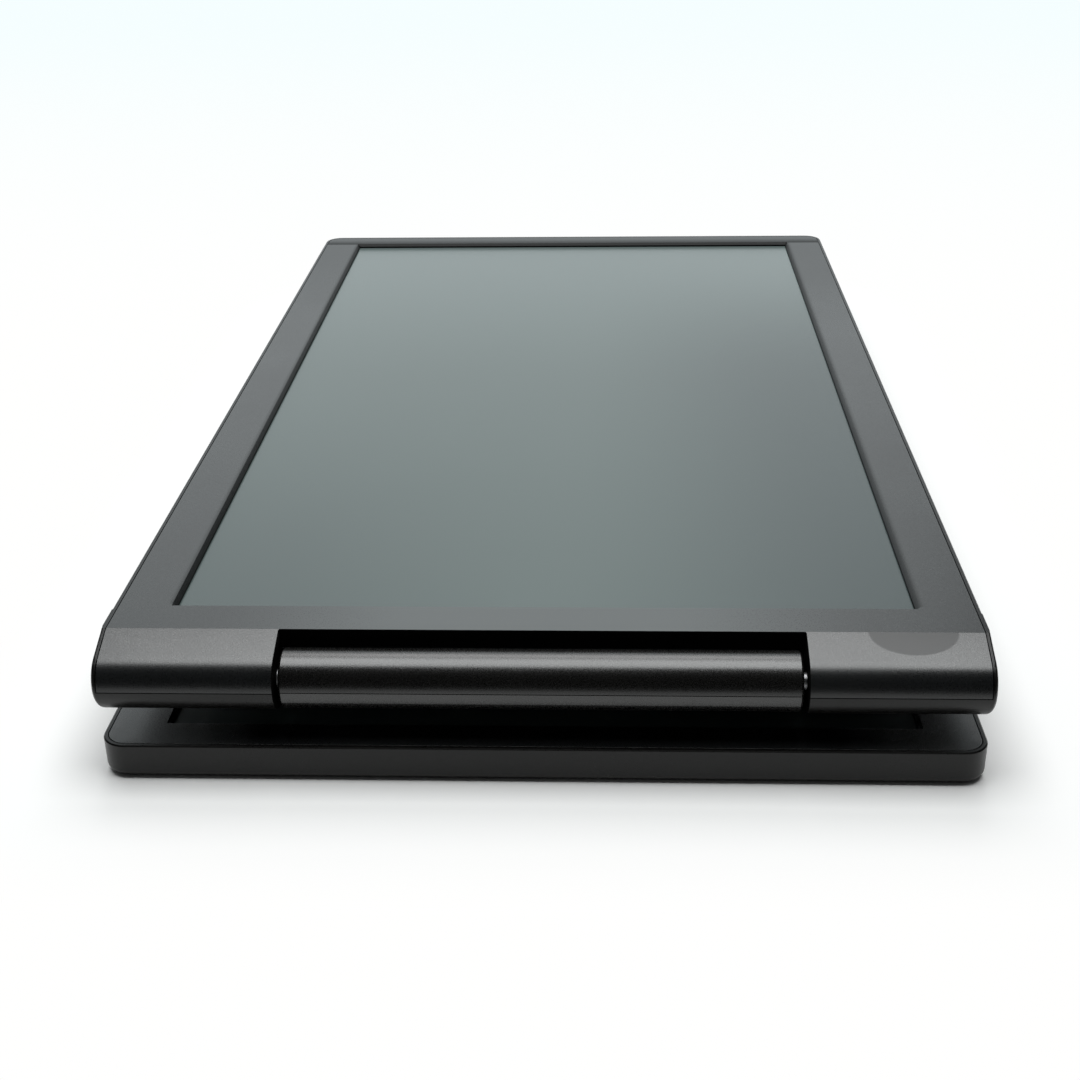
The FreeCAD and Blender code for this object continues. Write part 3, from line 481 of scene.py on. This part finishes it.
FINISHES = {
    "housing_plastic": shell_plastic(),
    # Painted shade on the frames' inner window walls and in the notch
    "bezel_plastic": shade_walls(frame_plastic("satin_frame")).material,
    "bracket_plastic": moulded("bracket_black", SHELL_COLOUR, BRACKET_ROUGH, SHELL_GRAIN_PER_MM,
                               SHELL_GRAIN_MM, BRACKET_SPECULAR),
    "screen_glass": screen_face(),
    "backlight_film": plain("white_film", (0.75, 0.75, 0.74), roughness=0.5),
    "circuit_board": plain("green_lacquer", (0.02, 0.12, 0.05), roughness=0.35),
    "ribbon_film": plain("amber_film", (0.50, 0.24, 0.05), roughness=0.35),
    "socket_steel": plain("nickel_plate", (0.62, 0.60, 0.57), roughness=0.28, metallic=1.0),
    "switch_plastic": plain("white_nylon", (0.68, 0.67, 0.63), roughness=0.5),
    "hinge_steel": brushed("ground_steel", (0.55, 0.55, 0.56), roughness=0.28),
    "screw_steel": plain("black_zinc", (0.05, 0.05, 0.055), roughness=0.38, metallic=0.8),
    "button_plastic": moulded("key_black", KEY_COLOUR, KEY_ROUGH, FRAME_GRAIN_PER_MM,
                              FRAME_GRAIN_MM),
    "hook_plastic": moulded("hook_black", SHELL_COLOUR, HOOK_ROUGH, SHELL_GRAIN_PER_MM,
                            SHELL_GRAIN_MM),
    "pad_rubber": plain("soft_rubber", (0.022, 0.022, 0.023), roughness=0.75, per_mm=3.0,
                        relief_mm=0.02),
    "pad_foam": plain("grey_foam", (0.035, 0.035, 0.038), roughness=0.9, per_mm=4.0,
                      relief_mm=0.08),
    "rail_plastic": plain("natural_acetal", (0.62, 0.60, 0.55), roughness=0.45),
}


def body_of_node():
    """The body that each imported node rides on, by the node's name."""
    bodies = frame["record"]["behaviour"]["bodies"]
    return {name: body for body, names in bodies.items() for name in names}


def skin(name, edge_mm):
    """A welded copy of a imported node: round faces shade smooth and its edges catch the light."""
    source = frame["nodes"][name].data
    mesh = bpy.data.meshes.new(f"{name}_skin")
    mesh.from_pydata([v.co for v in source.vertices], [], [p.vertices for p in source.polygons])
    work = bmesh.new()
    work.from_mesh(mesh)
    bmesh.ops.remove_doubles(work, verts=work.verts, dist=WELD_MM * MM)
    bmesh.ops.dissolve_degenerate(work, edges=work.edges, dist=WELD_MM * MM)
    for face in work.faces:
        face.smooth = True
    for edge in work.edges:
        edge.smooth = edge.calc_face_angle(math.pi) < math.radians(SMOOTH_DEGREES)
    work.to_mesh(mesh)
    work.free()
    piece = bpy.data.objects.new(mesh.name, mesh)
    bpy.context.scene.collection.objects.link(piece)
    if edge_mm:
        bevel = piece.modifiers.new("edge", "BEVEL")
        bevel.width = edge_mm * MM
        bevel.segments = BEVEL_SEGMENTS
        bevel.limit_method = "ANGLE"
        bevel.angle_limit = math.radians(SMOOTH_DEGREES)
        bevel.harden_normals = True
    return piece


def dress_nodes():
    """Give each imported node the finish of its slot, and the slots in SKINS a skin as well."""
    slots = {s["node"]: s["material_slot"] for s in frame["record"]["subparts"]}
    bodies = body_of_node()
    for name, node in frame["nodes"].items():
        finish = FINISHES[slots[name]]
        if name == "upper_front_bezel":
            finish = upper_frame()
        if slots[name] in SKINS:
            piece = skin(name, SKINS[slots[name]])
            piece.data.materials.append(finish)
            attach(piece, bodies[name])
            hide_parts(name)
        node.data.materials.clear()
        node.data.materials.append(finish)


def studio_floor():
    """The white surface: shaded round the object, and plain white to the camera further off."""
    made = Recipe("studio_white")
    half = FLOOR_SIZE / 2
    mesh = bpy.data.meshes.new("floor")
    mesh.from_pydata([(-half, -half, 0), (half, -half, 0), (half, half, 0), (-half, half, 0)], [],
                     [(0, 1, 2, 3)])
    floor = bpy.data.objects.new("floor", mesh)
    bpy.context.scene.collection.objects.link(floor)
    gloss = made.out("ShaderNodeLightPath", output="Is Glossy Ray")
    # Painted dark reflection: far in front, only glossy rays see the floor dark
    front = made.axis("Y").ramp(FLOOR_DARK_AT, FLOOR_DARK_FROM)
    made.set(Base_Color=made.mix((1 - front) * gloss, FLOOR_COLOUR, FLOOR_DARK_COLOUR),
             Roughness=FLOOR_ROUGH, Specular_IOR_Level=FLOOR_SPECULAR)
    corner = (cad_box[1][0], cad_box[1][1], ANY_HEIGHT)
    flat = made.out("ShaderNodeVectorMath", {"operation": "ABSOLUTE"}, [made.place])
    past = made.out("ShaderNodeVectorMath", {"operation": "SUBTRACT"}, [flat, corner])
    outside = made.out("ShaderNodeVectorMath", {"operation": "MAXIMUM"}, [past, (0.0, 0.0, 0.0)])
    away = made.out("ShaderNodeVectorMath", {"operation": "LENGTH"}, [outside], output="Value")
    seen = made.out("ShaderNodeLightPath", output="Is Camera Ray")
    glow = made.node("ShaderNodeEmission")
    tint = made.axis("Y").ramp(FLOOR_TINT_FROM, FLOOR_TINT_AT)
    shade = made.mix(tint, FLOOR_NEAR_COLOUR, FLOOR_FAR_COLOUR)
    made.feed(glow.inputs["Color"], shade)
    blend = made.node("ShaderNodeMixShader",
                      values=[away.ramp(FLOOR_WHITE_FROM, FLOOR_WHITE_AT) * seen,
                              made.surface.outputs[0], glow.outputs[0]])
    output = made.tree.nodes["Material Output"]
    made.tree.links.new(blend.outputs[0], output.inputs["Surface"])
    mesh.materials.append(made.material)


def room():
    """A weak even light, with next to nothing for the gloss to show."""
    world = bpy.data.worlds.new("room")
    bpy.context.scene.world = world
    world.use_nodes = True
    tree = world.node_tree
    background = tree.nodes["Background"]
    path = tree.nodes.new("ShaderNodeLightPath")
    level = tree.nodes.new("ShaderNodeMapRange")
    level.inputs["To Min"].default_value = ROOM_LIGHT
    level.inputs["To Max"].default_value = ROOM_GLOSS
    tree.links.new(path.outputs["Is Glossy Ray"], level.inputs["Value"])
    seen = tree.nodes.new("ShaderNodeMath")
    seen.operation = "MAXIMUM"
    tree.links.new(level.outputs[0], seen.inputs[0])
    tree.links.new(path.outputs["Is Camera Ray"], seen.inputs[1])
    tree.links.new(seen.outputs[0], background.inputs["Strength"])
    background.inputs["Color"].default_value = (*WHITE, 1.0)


def soft_box(name, place, aim, size, radiance, tint):
    """A rectangular lamp that faces a point, as bright as radiance to whoever looks at it."""
    lamp = bpy.data.lights.new(name, "AREA")
    lamp.shape = "RECTANGLE"
    lamp.size, lamp.size_y = size
    lamp.energy = math.pi * size[0] * size[1] * radiance
    lamp.color = tint
    holder = bpy.data.objects.new(name, lamp)
    holder.location = place
    holder.rotation_euler = (Vector(aim) - Vector(place)).to_track_quat("-Z", "Y").to_euler()
    holder.visible_camera = False
    bpy.context.scene.collection.objects.link(holder)


def camera():
    """The photograph's view."""
    pitch, yaw, roll = (math.radians(a) for a in (CAMERA_PITCH, CAMERA_YAW, CAMERA_ROLL))
    forward = Vector((math.sin(yaw) * math.cos(pitch), math.cos(yaw) * math.cos(pitch),
                      -math.sin(pitch)))
    level = Vector((math.cos(yaw), -math.sin(yaw), 0.0))
    upright = level.cross(forward)
    right = level * math.cos(roll) + upright * math.sin(roll)
    up = upright * math.cos(roll) - level * math.sin(roll)
    data = bpy.data.cameras.new("camera")
    data.sensor_width = SENSOR_MM
    data.lens = FOCAL_PIXELS / FRAME_PIXELS * SENSOR_MM
    data.clip_start = CLIP_START
    holder = bpy.data.objects.new("camera", data)
    turn = Matrix((right, up, -forward)).transposed().to_4x4()
    holder.matrix_world = Matrix.Translation(Vector(CAMERA_PLACE_MM) * MM) @ turn
    bpy.context.scene.collection.objects.link(holder)
    bpy.context.scene.camera = holder


bpy.context.scene.view_settings.view_transform = "Standard"
camera()
studio_floor()
room()
for lamp_name, lamp_values in LAMPS.items():
    soft_box(lamp_name, *lamp_values)
dress_nodes()
